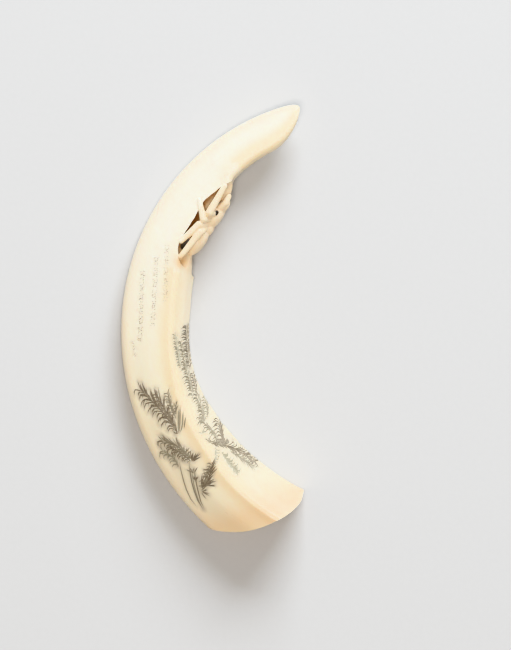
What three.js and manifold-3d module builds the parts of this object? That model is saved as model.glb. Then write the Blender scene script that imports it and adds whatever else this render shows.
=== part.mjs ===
// A netsuke made from one boar's tusk, lying on its lower broad face, with a spider carved into the
// inner curve and two inlaid horn eyes. Millimetres, +Z up. The origin is under the middle of its box.
import * as THREE from "three";
import { mergeVertices } from "three/addons/utils/BufferGeometryUtils.js";
import Module from "manifold-3d";

// The outer edge of the tusk, seen from above, is a curve that bends more tightly towards the tip.
const EDGE_LENGTH = 162.8;
const ROOT_BEND_RADIUS = 88;
const TIP_BEND_RADIUS = 65;
const ROOT_HEADING_DEG = 137;

// The section is a rounded triangle: the outer edge, the ridge on top and the lower inner edge.
const ROOT_WIDTH = 25.7;
const ROOT_HEIGHT = 15.5;
const ROOT_LEAN = 10.1;
const EDGE_RADIUS = 4.2;
const RIDGE_RADIUS = 1.7;
const INNER_RADIUS = 1.4;
const TIP_LIFT = 4.5;
const TIP_NOSE_LENGTH = 14;
const TIP_CORNER = 1.6;
const UPPER_FACE_SWELL = 0.8;
const INNER_FACE_SWELL = 1;

// The root end is sawn off askew, leans over its foot and is slightly domed. The dome's middle is given
// in root widths and root heights from the outer corner.
const CUT_SKEW_DEG = 23.7;
const CUT_LEAN_DEG = 12.9;
const CUT_DOME_RADIUS = 33.8;
const CUT_MIDDLE = [0.681, 0.45];
const CUT_SKIRT = 2;

// The pulp cavity is open at the root end and narrows to a point.
const CAVITY_DEPTH = 38;
const CAVITY_WALL = 2.7;
const CAVITY_POINT = 0.96;

// The spider lies in a carved hollow and faces the tip.
const SPIDER_LENGTH = 24;
const SPIDER_WIDTH = 6.6;
const LEG_RADIUS = 0.88;
const CHANNEL_WIDTH = 2.3;
const CHANNEL_LENGTH = 3.8;
const EYE_LENGTH = 1.7;
const EYE_WIDTH = 1.3;
const EYE_CLEARANCE = 0.06;

// Shares of the edge length, from the root corner to the tip, and of the root's own sizes.
const WIDTHS = [
  [-0.17, 1.065], [-0.12, 1.043], [0, 1], [0.09, 0.955], [0.19, 0.893], [0.27, 0.835], [0.34, 0.812],
  [0.47, 0.805], [0.53, 0.78], [0.575, 0.75], [0.605, 0.712], [0.7, 0.7], [0.755, 0.66], [0.79, 0.57],
  [0.81, 0.493], [0.89, 0.45], [1, 0.42],
];
const HEIGHTS = [
  [-0.17, 1.02], [0, 1], [0.12, 0.98], [0.25, 0.94], [0.37, 0.89], [0.5, 0.825], [0.6, 0.765],
  [0.7, 0.71], [0.8, 0.61], [0.89, 0.52], [1, 0.42],
];
const LEANS = [
  [-0.17, 1.1], [0, 1], [0.12, 0.82], [0.23, 0.67], [0.32, 0.53], [0.44, 0.5], [0.56, 0.5],
  [0.7, 0.3], [0.77, 0.13], [0.84, 0.09], [1, 0.09],
];
const EDGE_RADII = [[-0.17, 1], [0, 1], [0.37, 0.93], [0.7, 0.76], [0.8, 0.62], [1, 0.45]];
const SWELLS = [[-0.17, 1], [0, 1], [0.37, 0.5], [1, 0.4]];
const LIFT_STARTS = 0.58;
const NOSE_POWERS = [2.2, 0.57];
const NOSE_LEAST = 0.04;
const NOSE_POINT_HEIGHT = 0.4;
const EDGE_RADIUS_LIMIT = 0.47;

// The spider's middle, as a share of the edge length and of the tusk's width there.
const SPIDER_STATION = 0.694;
const SPIDER_DEPTH = 0.885;

// The hollow's rim on the tusk's faces, in spider lengths: along the tusk and towards the inner curve.
const RIM = [
  [-0.68, 0.3], [-0.655, 0.09], [-0.63, 0.02], [-0.573, -0.045], [-0.505, -0.108], [-0.423, -0.141],
  [-0.3, -0.156], [-0.162, -0.163], [-0.024, -0.172], [0.09, -0.192], [0.178, -0.196], [0.301, -0.167],
  [0.419, -0.133], [0.52, -0.095], [0.6, -0.052], [0.66, 0], [0.75, 0.16],
];
// The web that stands halfway through the hollow and carries the spider runs out into both its ends.
const WEB = [
  [-0.65, 0.36], [-0.55, 0.21], [-0.49, 0.12], [-0.42, 0.03], [-0.3, -0.045], [0, -0.07], [0.24, -0.05],
  [0.34, 0.005], [0.42, 0.04], [0.5, 0.06], [0.6, 0.09], [0.73, 0.18],
];
const WEB_WAIST = 2.1;
// How far the cutter reaches: outwards in spider lengths, and across in half thicknesses of the tusk.
const HOLLOW_OUTWARD = 0.6;
const HOLLOW_ACROSS = 2.1;

// Round forms of the body: middle and half sizes along the tusk, outwards and across, in spider lengths
// (across: in spider widths).
const BODY_FORMS = [
  { middle: [-0.275, 0.045, 0], half: [0.21, 0.095, 0.52] },
  { middle: [0.11, 0.032, 0], half: [0.2, 0.096, 0.48] },
  { middle: [-0.075, 0.045, 0], half: [0.12, 0.082, 0.36] },
  { middle: [0.29, 0.048, 0.14], half: [0.1, 0.062, 0.16] },
  { middle: [0.29, 0.048, -0.14], half: [0.1, 0.062, 0.16] },
];
const HEAD_FORM = BODY_FORMS[1];
// One side's limbs: hip, knee and foot along the tusk and outwards, in spider lengths.
const LEGS = [
  { hip: [0.13, 0.005], knee: [0.105, -0.05], foot: [0.49, -0.088], thick: 1.25 },
  { hip: [0.05, 0], knee: [-0.01, -0.067], foot: [0.162, -0.25], thick: 1.15 },
  { hip: [-0.04, 0], knee: [-0.1, -0.07], foot: [-0.4, -0.13], thick: 1.2 },
  { hip: [-0.1, 0.015], knee: [-0.172, -0.003], foot: [-0.57, -0.022], thick: 1.2 },
];
const HIP_SPREAD = 0.36;
const KNEE_SWELL = 1.08;
const FOOT_TAPER = 0.75;
// How deep knees and feet lie in the upper and the lower face, in leg radii.
const KNEE_SUNK = { upper: 0.55, lower: 1.15 };
const FOOT_SUNK = { upper: 0.1, lower: 1.1 };
const PALP = { hip: [0.23, 0.025, 0.3], knee: [0.32, 0.045, 0.4], foot: [0.415, 0.03, 0.32], thick: 1.15 };
const PALP_TAPER = 0.8;
const EYE_PLACE = [0.152, 0.022];
const CHANNEL_PLACE = [-0.4, -0.07];

const TUSK_COLOUR = 0xf2e6c8;
const HORN_COLOUR = 0x1a120c;

// How finely the solids are faceted.
const SECTION_STEP = 5;
const FACETS = {
  corners: { edge: 8, inner: 3, ridge: 4 },
  side: 4,
  hollowAlong: 22,
  hollowAcross: 16,
  ball: 14,
  limb: 7,
  channel: 16,
  eye: 12,
  cap: 3,
  domeAround: 64,
  domeDown: 48,
};
const EDGE_STEPS = 48;
const STATION_TRIES = 12;
const WELD = 1e-4;
const FACET_TOLERANCE = 0.005;

const wasm = await Module();
wasm.setup();

const degrees = THREE.MathUtils.degToRad;

// A smooth value between the neighbouring [place, value] stations, without overshoot.
function smoothProfile(stations, place) {
  const last = stations.length - 1;
  const clamped = THREE.MathUtils.clamp(place, stations[0][0], stations[last][0]);
  let i = 0;
  while (i < last - 1 && clamped > stations[i + 1][0]) i += 1;
  const slope = (k) => (stations[k + 1][1] - stations[k][1]) / (stations[k + 1][0] - stations[k][0]);
  const tangent = (k) => {
    if (k === 0) return slope(0);
    if (k === last) return slope(last - 1);
    const [before, after] = [slope(k - 1), slope(k)];
    return before * after <= 0 ? 0 : (2 * before * after) / (before + after);
  };
  const span = stations[i + 1][0] - stations[i][0];
  const u = (clamped - stations[i][0]) / span;
  return (
    stations[i][1] * (1 + 2 * u) * (1 - u) ** 2 +
    tangent(i) * span * u * (1 - u) ** 2 +
    stations[i + 1][1] * u * u * (3 - 2 * u) +
    tangent(i + 1) * span * u * u * (u - 1)
  );
}

function headingAt(along) {
  const tighten = (1 / TIP_BEND_RADIUS - 1 / ROOT_BEND_RADIUS) / (2 * EDGE_LENGTH);
  return degrees(ROOT_HEADING_DEG) - along / ROOT_BEND_RADIUS - tighten * along * along;
}

// The point of the outer edge at a length from the root corner, summed along its heading.
function edgePoint(along) {
  const point = new THREE.Vector2();
  for (let i = 0; i < EDGE_STEPS; i += 1) {
    const heading = headingAt((along * (i + 0.5)) / EDGE_STEPS);
    point.x += (Math.cos(heading) * along) / EDGE_STEPS;
    point.y += (Math.sin(heading) * along) / EDGE_STEPS;
  }
  return point;
}

// A point by its length along the outer edge, its distance in from that edge, and its height.
function placeOnTusk(along, inward, height) {
  const edge = edgePoint(along);
  const heading = headingAt(along);
  return new THREE.Vector3(
    edge.x + inward * Math.sin(heading),
    edge.y - inward * Math.cos(heading),
    height,
  );
}

function liftAt(along) {
  const share = Math.max(0, (along / EDGE_LENGTH - LIFT_STARTS) / (1 - LIFT_STARTS));
  return TIP_LIFT * share * share;
}

// How much of the full section is left this close to the tip.
function noseShare(along) {
  const left = Math.max(0, (EDGE_LENGTH - along) / TIP_NOSE_LENGTH);
  return left >= 1 ? 1 : (1 - (1 - left) ** NOSE_POWERS[0]) ** NOSE_POWERS[1];
}

// The three corner circles of a section, anticlockwise from the outer edge.
function cornersAt(along) {
  const share = along / EDGE_LENGTH;
  const nose = Math.max(noseShare(along), NOSE_LEAST);
  const corner = TIP_CORNER * (1 - nose) ** 3;
  const lift = liftAt(along);
  const width = ROOT_WIDTH * smoothProfile(WIDTHS, share) * nose;
  const height = ROOT_HEIGHT * smoothProfile(HEIGHTS, share) * nose;
  const lean = ROOT_LEAN * smoothProfile(LEANS, share) * nose;
  const edgeRadius = Math.min(
    EDGE_RADIUS * smoothProfile(EDGE_RADII, share) * nose,
    EDGE_RADIUS_LIMIT * height,
  );
  const ridgeRadius = RIDGE_RADIUS * nose;
  const innerRadius = INNER_RADIUS * nose;
  const floor = lift + (1 - nose) * NOSE_POINT_HEIGHT * ROOT_HEIGHT * HEIGHTS.at(-1)[1];
  return {
    edge: { x: corner + edgeRadius, z: floor + edgeRadius, r: edgeRadius },
    inner: { x: corner + width - innerRadius, z: floor + innerRadius, r: innerRadius },
    ridge: { x: corner + width - lean - ridgeRadius / 2, z: floor + height - ridgeRadius, r: ridgeRadius },
  };
}

// The outward direction of the straight side that touches two corner circles.
function sideNormal(from, to) {
  const reach = Math.hypot(to.x - from.x, to.z - from.z);
  return Math.atan2(to.z - from.z, to.x - from.x) - Math.PI / 2 - Math.asin((to.r - from.r) / reach);
}

// The outline of the section at a length along the edge, as [inward, height] points.
function sectionAt(along) {
  const corners = cornersAt(along);
  const swell = smoothProfile(SWELLS, along / EDGE_LENGTH) * noseShare(along);
  const order = [
    { name: "edge", swell: 0 },
    { name: "inner", swell: INNER_FACE_SWELL * swell },
    { name: "ridge", swell: UPPER_FACE_SWELL * swell },
  ];
  const normals = order.map((side, i) =>
    sideNormal(corners[side.name], corners[order[(i + 1) % order.length].name]),
  );
  const outline = [];
  order.forEach((side, i) => {
    const corner = corners[side.name];
    const next = corners[order[(i + 1) % order.length].name];
    const leave = normals[i];
    let arrive = normals[(i + order.length - 1) % order.length];
    while (arrive > leave) arrive -= 2 * Math.PI;
    const arcSteps = FACETS.corners[side.name];
    for (let k = 0; k <= arcSteps; k += 1) {
      const angle = arrive + ((leave - arrive) * k) / arcSteps;
      outline.push([corner.x + corner.r * Math.cos(angle), corner.z + corner.r * Math.sin(angle)]);
    }
    const radiusAt = (u) => corner.r + (next.r - corner.r) * u + side.swell * Math.sin(Math.PI * u) ** 2;
    for (let k = 1; k < FACETS.side; k += 1) {
      const u = k / FACETS.side;
      outline.push([
        corner.x + (next.x - corner.x) * u + radiusAt(u) * Math.cos(leave),
        corner.z + (next.z - corner.z) * u + radiusAt(u) * Math.sin(leave),
      ]);
    }
  });
  return outline;
}

// The mesh's solid, and a solid's mesh.
function solidOf(geometry) {
  const bare = geometry.clone();
  bare.deleteAttribute("normal");
  bare.deleteAttribute("uv");
  const merged = mergeVertices(bare, WELD);
  return new wasm.Manifold(
    new wasm.Mesh({
      numProp: 3,
      vertProperties: new Float32Array(merged.attributes.position.array),
      triVerts: new Uint32Array(merged.index.array),
    }),
  );
}

function geometryOf(solid) {
  const mesh = solid.getMesh();
  const geometry = new THREE.BufferGeometry();
  geometry.setAttribute("position", new THREE.BufferAttribute(mesh.vertProperties, 3));
  geometry.setIndex(new THREE.BufferAttribute(mesh.triVerts, 1));
  geometry.computeVertexNormals();
  return geometry;
}

// A closed skin over rings of points, each ring the same count.
function skin(rings, endFaces) {
  const sides = rings[0].length;
  const lastRing = (rings.length - 1) * sides;
  const faces = [];
  for (let near = 0; near < lastRing; near += sides) {
    for (let i = 0; i < sides; i += 1) {
      const next = (i + 1) % sides;
      faces.push(near + i, near + sides + i, near + next);
      faces.push(near + next, near + sides + i, near + sides + next);
    }
  }
  endFaces(sides).forEach(([a, b, c]) => {
    faces.push(a, b, c);
    faces.push(lastRing + c, lastRing + b, lastRing + a);
  });
  const geometry = new THREE.BufferGeometry().setFromPoints(rings.flat());
  geometry.setIndex(faces);
  return solidOf(geometry);
}

// Closes a rounded ring with a fan, and a ring of two facing rows with a strip.
const fan = (sides) => Array.from({ length: sides - 2 }, (_, i) => [0, i + 1, i + 2]);
const strip = (sides) =>
  Array.from({ length: sides / 2 - 1 }, (_, i) => [
    [i, i + 1, sides - 1 - i],
    [i + 1, sides - 2 - i, sides - 1 - i],
  ]).flat();

// The stations of a sweep, evenly spaced and ending exactly at both ends.
function stationsBetween(from, to, step) {
  const count = Math.max(2, Math.round(Math.abs(to - from) / step));
  return Array.from({ length: count + 1 }, (_, i) => from + ((to - from) * i) / count);
}

const ROOT_OVERRUN = -0.165 * EDGE_LENGTH;

function tuskBody() {
  const noseStart = EDGE_LENGTH - TIP_NOSE_LENGTH;
  const noseShares = [0.16, 0.32, 0.46, 0.58, 0.68, 0.77, 0.85, 0.92, 0.97, 1];
  const stations = [
    ...stationsBetween(ROOT_OVERRUN, noseStart, SECTION_STEP),
    ...noseShares.map((share) => noseStart + share * TIP_NOSE_LENGTH),
  ];
  return skin(stations.map((s) => sectionAt(s).map(([w, z]) => placeOnTusk(s, w, z))), fan);
}

// The middle of a section's largest inner circle, and that circle's radius.
function sectionHeart(along) {
  const { edge, inner, ridge } = cornersAt(along);
  const facing = {
    edge: Math.hypot(ridge.x - inner.x, ridge.z - inner.z),
    ridge: Math.hypot(edge.x - inner.x, edge.z - inner.z),
    inner: Math.hypot(edge.x - ridge.x, edge.z - ridge.z),
  };
  const around = facing.edge + facing.ridge + facing.inner;
  const mean = (axis) =>
    (facing.edge * edge[axis] + facing.ridge * ridge[axis] + facing.inner * inner[axis]) / around;
  const twiceArea = Math.abs(
    (ridge.x - edge.x) * (inner.z - edge.z) - (ridge.z - edge.z) * (inner.x - edge.x),
  );
  return { x: mean("x"), z: mean("z"), reach: twiceArea / around + (edge.r + ridge.r + inner.r) / 3 };
}

// Shrinks the tusk's own sections about their middles, so the wall is even and thickens with depth.
function pulpCavity() {
  const rings = stationsBetween(ROOT_OVERRUN - SECTION_STEP, CAVITY_DEPTH, SECTION_STEP).map((s) => {
    const heart = sectionHeart(s);
    const deep = Math.max(0, (s - ROOT_OVERRUN) / (CAVITY_DEPTH - ROOT_OVERRUN));
    const wall = CAVITY_WALL + (CAVITY_POINT * heart.reach - CAVITY_WALL) * deep * deep;
    const scale = 1 - wall / heart.reach;
    return sectionAt(s).map(([w, z]) =>
      placeOnTusk(s, heart.x + (w - heart.x) * scale, heart.z + (z - heart.z) * scale),
    );
  });
  return skin(rings, fan);
}

// What the saw takes off beyond the root: a block, less the dome that is left standing.
function rootCut() {
  const size = 2 * EDGE_LENGTH;
  const [middleAlong, middleHeight] = [CUT_MIDDLE[0] * ROOT_WIDTH, CUT_MIDDLE[1] * ROOT_HEIGHT];
  const corner = placeOnTusk(0, 0, EDGE_RADIUS);
  const facing = headingAt(0) + Math.PI - degrees(CUT_SKEW_DEG);
  const block = new THREE.BoxGeometry(size, size, size).translate(size / 2 - CUT_SKIRT, 0, 0);
  const sunk = Math.sqrt(CUT_DOME_RADIUS ** 2 - middleAlong ** 2);
  const dome = new THREE.SphereGeometry(CUT_DOME_RADIUS, FACETS.domeAround, FACETS.domeDown);
  dome.translate(-sunk, middleAlong, middleHeight - EDGE_RADIUS);
  const pose = new THREE.Matrix4()
    .makeTranslation(corner)
    .multiply(new THREE.Matrix4().makeRotationZ(facing))
    .multiply(new THREE.Matrix4().makeRotationY(degrees(CUT_LEAN_DEG)));
  return solidOf(block.applyMatrix4(pose)).subtract(solidOf(dome.applyMatrix4(pose)));
}

// The spider's frame: along the tusk to the tip, out of the inner curve, and up.
const spiderAlong = SPIDER_STATION * EDGE_LENGTH;
const spiderHeading = headingAt(spiderAlong);
const spiderInward = SPIDER_DEPTH * ROOT_WIDTH * smoothProfile(WIDTHS, SPIDER_STATION);

function heightsOver(along, inward) {
  const outline = sectionAt(along);
  const crossings = [];
  outline.forEach(([w, z], i) => {
    const [nextW, nextZ] = outline[(i + 1) % outline.length];
    if ((w - inward) * (nextW - inward) < 0) {
      crossings.push(z + ((nextZ - z) * (inward - w)) / (nextW - w));
    }
  });
  return { top: Math.max(...crossings), bottom: Math.min(...crossings) };
}

const spiderSection = sectionAt(spiderAlong).map(([, z]) => z);
const spiderTop = Math.max(...spiderSection);
const spiderBottom = Math.min(...spiderSection);
const spiderMiddle = (spiderTop + spiderBottom) / 2;
const halfThickness = (spiderTop - spiderBottom) / 2;
const spiderOrigin = placeOnTusk(spiderAlong, spiderInward, spiderMiddle);

function fromSpider(along, outward, across) {
  return new THREE.Vector3(
    spiderOrigin.x + along * Math.cos(spiderHeading) + outward * Math.sin(spiderHeading),
    spiderOrigin.y + along * Math.sin(spiderHeading) - outward * Math.cos(spiderHeading),
    spiderOrigin.z + across,
  );
}

// The height of the tusk's upper or lower face under or over a point of the spider's frame.
function faceAcross(along, outward, side) {
  const point = fromSpider(along, outward, 0);
  let station = spiderAlong + along;
  let inward = 0;
  for (let i = 0; i < STATION_TRIES; i += 1) {
    const edge = edgePoint(station);
    const heading = headingAt(station);
    const [dx, dy] = [point.x - edge.x, point.y - edge.y];
    station += dx * Math.cos(heading) + dy * Math.sin(heading);
    inward = dx * Math.sin(heading) - dy * Math.cos(heading);
  }
  const faces = heightsOver(station, inward);
  return (side > 0 ? faces.top : faces.bottom) - spiderMiddle;
}

// How far out the floor of the hollow lies: deepest at the tusk's faces, with the web halfway between.
function hollowFloor(along, across) {
  const rim = smoothProfile(RIM, along / SPIDER_LENGTH) * SPIDER_LENGTH;
  const web = smoothProfile(WEB, along / SPIDER_LENGTH) * SPIDER_LENGTH;
  const share = Math.min(1, Math.abs(across) / halfThickness);
  return rim + (web - rim) * Math.exp(-((across / WEB_WAIST) ** 2)) * (1 - share * share);
}

function spiderHollow() {
  const outer = HOLLOW_OUTWARD * SPIDER_LENGTH;
  const [rear, front] = [RIM[0][0] * SPIDER_LENGTH, RIM.at(-1)[0] * SPIDER_LENGTH];
  const deep = HOLLOW_ACROSS * halfThickness;
  const across = stationsBetween(-1, 1, 2 / FACETS.hollowAcross).map((v) => deep * Math.sign(v) * v * v);
  const rings = stationsBetween(rear, front, (front - rear) / FACETS.hollowAlong).map((t) => [
    ...across.map((z) => fromSpider(t, outer, z)),
    ...across.map((z) => fromSpider(t, hollowFloor(t, z), z)).reverse(),
  ]);
  return skin(rings, strip);
}

function ball(middle, half, sides) {
  const geometry = new THREE.SphereGeometry(1, sides, Math.round(sides * 0.6));
  geometry.scale(...half);
  geometry.rotateZ(spiderHeading);
  geometry.translate(...middle.toArray());
  return solidOf(geometry);
}

// A limb's segment, round at both ends and thinner towards the foot.
function segment(from, to, fromRadius, toRadius) {
  const length = from.distanceTo(to);
  const profile = [];
  for (let k = 0; k <= FACETS.cap; k += 1) {
    const angle = -Math.PI / 2 + (k / FACETS.cap) * (Math.PI / 2);
    profile.push(new THREE.Vector2(fromRadius * Math.cos(angle), fromRadius * Math.sin(angle)));
  }
  for (let k = 0; k <= FACETS.cap; k += 1) {
    const angle = (k / FACETS.cap) * (Math.PI / 2);
    profile.push(new THREE.Vector2(toRadius * Math.cos(angle), length + toRadius * Math.sin(angle)));
  }
  profile[0].x = 0;
  profile.at(-1).x = 0;
  const geometry = new THREE.LatheGeometry(profile, FACETS.limb);
  const turn = new THREE.Quaternion().setFromUnitVectors(
    new THREE.Vector3(0, 1, 0),
    to.clone().sub(from).normalize(),
  );
  geometry.applyQuaternion(turn).translate(from.x, from.y, from.z);
  return solidOf(geometry);
}

// A leg rises from the hip to a knee level with the tusk's face, and its foot grips the hollow's rim.
function legSolids(leg, side) {
  const radius = LEG_RADIUS * leg.thick;
  const at = ([along, outward], across) =>
    fromSpider(along * SPIDER_LENGTH, outward * SPIDER_LENGTH, across);
  const kneeRadius = radius * KNEE_SWELL;
  const face = side > 0 ? "upper" : "lower";
  const kneeAcross = side * (halfThickness - KNEE_SUNK[face] * kneeRadius);
  const [footAlong, footOutward] = leg.foot.map((share) => share * SPIDER_LENGTH);
  const footAcross = faceAcross(footAlong, footOutward, side) - side * FOOT_SUNK[face] * radius;
  const hip = at(leg.hip, side * HIP_SPREAD * SPIDER_WIDTH);
  const knee = at(leg.knee, kneeAcross);
  const foot = at(leg.foot, footAcross);
  return [segment(hip, knee, radius, kneeRadius), segment(knee, foot, kneeRadius, radius * FOOT_TAPER)];
}

function palpSolids(side) {
  const radius = LEG_RADIUS * PALP.thick;
  const [hip, knee, foot] = [PALP.hip, PALP.knee, PALP.foot].map(([along, outward, across]) =>
    fromSpider(along * SPIDER_LENGTH, outward * SPIDER_LENGTH, side * across * SPIDER_WIDTH),
  );
  return [segment(hip, knee, radius, radius), segment(knee, foot, radius, radius * PALP_TAPER)];
}

function spiderSolid() {
  const forms = BODY_FORMS.map(({ middle, half }) =>
    ball(
      fromSpider(middle[0] * SPIDER_LENGTH, middle[1] * SPIDER_LENGTH, middle[2] * SPIDER_WIDTH),
      [half[0] * SPIDER_LENGTH, half[1] * SPIDER_LENGTH, half[2] * SPIDER_WIDTH],
      FACETS.ball,
    ),
  );
  const limbs = [1, -1].flatMap((side) => [
    ...LEGS.flatMap((leg) => legSolids(leg, side)),
    ...palpSolids(side),
  ]);
  return wasm.Manifold.union([...forms, ...limbs]);
}

// The slot under the abdomen, from face to face, that a cord passes through.
function cordChannel() {
  const bore = new THREE.CylinderGeometry(0.5, 0.5, 4 * halfThickness, FACETS.channel);
  bore.rotateX(Math.PI / 2).scale(CHANNEL_LENGTH, CHANNEL_WIDTH, 1).rotateZ(spiderHeading);
  const middle = fromSpider(CHANNEL_PLACE[0] * SPIDER_LENGTH, CHANNEL_PLACE[1] * SPIDER_LENGTH, 0);
  return solidOf(bore.translate(...middle.toArray()));
}

// An eye sits half sunk in the side of the head.
function eyeMiddle(side) {
  const along = (EYE_PLACE[0] - HEAD_FORM.middle[0]) / HEAD_FORM.half[0];
  const outward = (EYE_PLACE[1] - HEAD_FORM.middle[1]) / HEAD_FORM.half[1];
  const across = HEAD_FORM.half[2] * SPIDER_WIDTH * Math.sqrt(1 - along * along - outward * outward);
  return fromSpider(EYE_PLACE[0] * SPIDER_LENGTH, EYE_PLACE[1] * SPIDER_LENGTH, side * across);
}

function eyeSolid(side, clearance) {
  const half = [EYE_LENGTH / 2 + clearance, EYE_WIDTH / 2 + clearance, EYE_WIDTH / 2 + clearance];
  return ball(eyeMiddle(side), half, FACETS.eye);
}

function tuskSolid() {
  const carved = tuskBody()
    .subtract(rootCut())
    .subtract(pulpCavity())
    .subtract(spiderHollow())
    .subtract(cordChannel());
  return carved
    .add(spiderSolid())
    .subtract(eyeSolid(1, EYE_CLEARANCE))
    .subtract(eyeSolid(-1, EYE_CLEARANCE))
    .simplify(FACET_TOLERANCE);
}

function named(name, solid, colour, roughness) {
  const material = new THREE.MeshStandardMaterial({ color: colour, roughness, metalness: 0 });
  const mesh = new THREE.Mesh(geometryOf(solid), material);
  mesh.name = name;
  return mesh;
}

const tusk = named("carved_tusk", tuskSolid(), TUSK_COLOUR, 0.35);
const netsuke = new THREE.Group();
netsuke.add(
  tusk,
  named("upper_eye", eyeSolid(1, 0), HORN_COLOUR, 0.25),
  named("lower_eye", eyeSolid(-1, 0), HORN_COLOUR, 0.25),
);

// Moves the origin to the middle of the underside of the tusk's box.
const box = new THREE.Box3().setFromBufferAttribute(tusk.geometry.getAttribute("position"));
const middle = box.getCenter(new THREE.Vector3());
netsuke.position.set(-middle.x, -middle.y, -box.min.z);

export default netsuke;
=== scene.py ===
import math
import random

import bmesh
import bpy
import numpy as np
from mathutils import Matrix, Vector
from mathutils.bvhtree import BVHTree
from mathutils.geometry import delaunay_2d_cdt


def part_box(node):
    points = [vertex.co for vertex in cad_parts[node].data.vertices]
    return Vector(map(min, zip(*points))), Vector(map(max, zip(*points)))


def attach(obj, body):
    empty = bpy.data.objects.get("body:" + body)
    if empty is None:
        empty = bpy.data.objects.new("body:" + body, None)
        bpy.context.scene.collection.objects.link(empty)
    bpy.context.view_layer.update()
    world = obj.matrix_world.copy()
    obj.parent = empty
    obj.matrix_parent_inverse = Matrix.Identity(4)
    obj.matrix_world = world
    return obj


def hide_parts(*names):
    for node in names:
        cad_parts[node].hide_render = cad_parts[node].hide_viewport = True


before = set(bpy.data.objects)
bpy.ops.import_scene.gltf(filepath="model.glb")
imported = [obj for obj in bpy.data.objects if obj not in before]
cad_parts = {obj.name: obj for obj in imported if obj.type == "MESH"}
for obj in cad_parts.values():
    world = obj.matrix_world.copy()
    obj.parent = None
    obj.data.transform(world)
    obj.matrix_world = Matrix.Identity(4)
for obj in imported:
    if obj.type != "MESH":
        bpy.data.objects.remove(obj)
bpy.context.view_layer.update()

# The outer edge of the tusk, seen from above.
EDGE_LENGTH = 162.8
ROOT_BEND_RADIUS = 88
TIP_BEND_RADIUS = 65
ROOT_HEADING_DEG = 137

# The section: a rounded triangle of outer edge, ridge and lower inner edge.
ROOT_WIDTH = 25.7
ROOT_HEIGHT = 15.5
ROOT_LEAN = 10.1
EDGE_RADIUS = 4.2
RIDGE_RADIUS = 1.7
INNER_RADIUS = 1.4
TIP_LIFT = 4.5
TIP_NOSE_LENGTH = 14
TIP_CORNER = 1.6
UPPER_FACE_SWELL = 0.8
INNER_FACE_SWELL = 1

# The sawn root end and the pulp cavity.
CUT_SKEW_DEG = 23.7
CUT_LEAN_DEG = 12.9
CUT_DOME_RADIUS = 33.8
CUT_MIDDLE = (0.681, 0.45)
CUT_SKIRT = 2
CAVITY_DEPTH = 38
CAVITY_WALL = 2.7
CAVITY_POINT = 0.96

# The spider and its hollow.
SPIDER_LENGTH = 24
SPIDER_WIDTH = 6.6
LEG_RADIUS = 0.88
CHANNEL_WIDTH = 2.3
CHANNEL_LENGTH = 3.8
EYE_LENGTH = 1.7
EYE_WIDTH = 1.3
EYE_CLEARANCE = 0.06

# Shares of the edge length, and of the root's own sizes.
WIDTHS = [
    (-0.17, 1.065), (-0.12, 1.043), (0, 1), (0.09, 0.955), (0.19, 0.893), (0.27, 0.835), (0.34, 0.812),
    (0.47, 0.805), (0.53, 0.78), (0.575, 0.75), (0.605, 0.712), (0.7, 0.7), (0.755, 0.66), (0.79, 0.57),
    (0.81, 0.493), (0.89, 0.45), (1, 0.42),
]
HEIGHTS = [
    (-0.17, 1.02), (0, 1), (0.12, 0.98), (0.25, 0.94), (0.37, 0.89), (0.5, 0.825), (0.6, 0.765),
    (0.7, 0.71), (0.8, 0.61), (0.89, 0.52), (1, 0.42),
]
LEANS = [
    (-0.17, 1.1), (0, 1), (0.12, 0.82), (0.23, 0.67), (0.32, 0.53), (0.44, 0.5), (0.56, 0.5),
    (0.7, 0.3), (0.77, 0.13), (0.84, 0.09), (1, 0.09),
]
EDGE_RADII = [(-0.17, 1), (0, 1), (0.37, 0.93), (0.7, 0.76), (0.8, 0.62), (1, 0.45)]
SWELLS = [(-0.17, 1), (0, 1), (0.37, 0.5), (1, 0.4)]
LIFT_STARTS = 0.58
NOSE_POWERS = (2.2, 0.57)
NOSE_LEAST = 0.04
NOSE_RISE = 0.4

# The hollow: its rim on the tusk's faces and the web halfway through, in spider lengths.
SPIDER_STATION = 0.694
SPIDER_DEPTH = 0.885
RIM = [
    (-0.68, 0.3), (-0.655, 0.09), (-0.63, 0.02), (-0.573, -0.045), (-0.505, -0.108), (-0.423, -0.141),
    (-0.3, -0.156), (-0.162, -0.163), (-0.024, -0.172), (0.09, -0.192), (0.178, -0.196), (0.301, -0.167),
    (0.419, -0.133), (0.52, -0.095), (0.6, -0.052), (0.66, 0), (0.75, 0.16),
]
WEB = [
    (-0.65, 0.36), (-0.55, 0.21), (-0.49, 0.12), (-0.42, 0.03), (-0.3, -0.045), (0, -0.07), (0.24, -0.05),
    (0.34, 0.005), (0.42, 0.04), (0.5, 0.06), (0.6, 0.09), (0.73, 0.18),
]
WEB_WAIST = 2.1
CHANNEL_PLACE = (-0.4, -0.07)
EYE_PLACE = (0.152, 0.022)
HOLLOW_OUTWARD = 0.6
HOLLOW_ACROSS = 2.1
GOUGE_DEPTH = 0.12
SPIDER_GRAIN = 0.17

# The spider's round forms: middle and half sizes along the tusk, outwards and across, in spider lengths
# (across: in spider widths), and how deeply they are furrowed.
HEAD_MIDDLE, HEAD_HALF = (0.11, 0.032, 0), (0.2, 0.096, 0.48)
BODY_FORMS = [
    ((-0.275, 0.045, 0), (0.21, 0.095, 0.52), 0.012),
    (HEAD_MIDDLE, HEAD_HALF, 0),
    ((-0.075, 0.045, 0), (0.12, 0.082, 0.36), 0),
    ((0.29, 0.048, 0.14), (0.1, 0.062, 0.16), 0),
    ((0.29, 0.048, -0.14), (0.1, 0.062, 0.16), 0),
]
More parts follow.
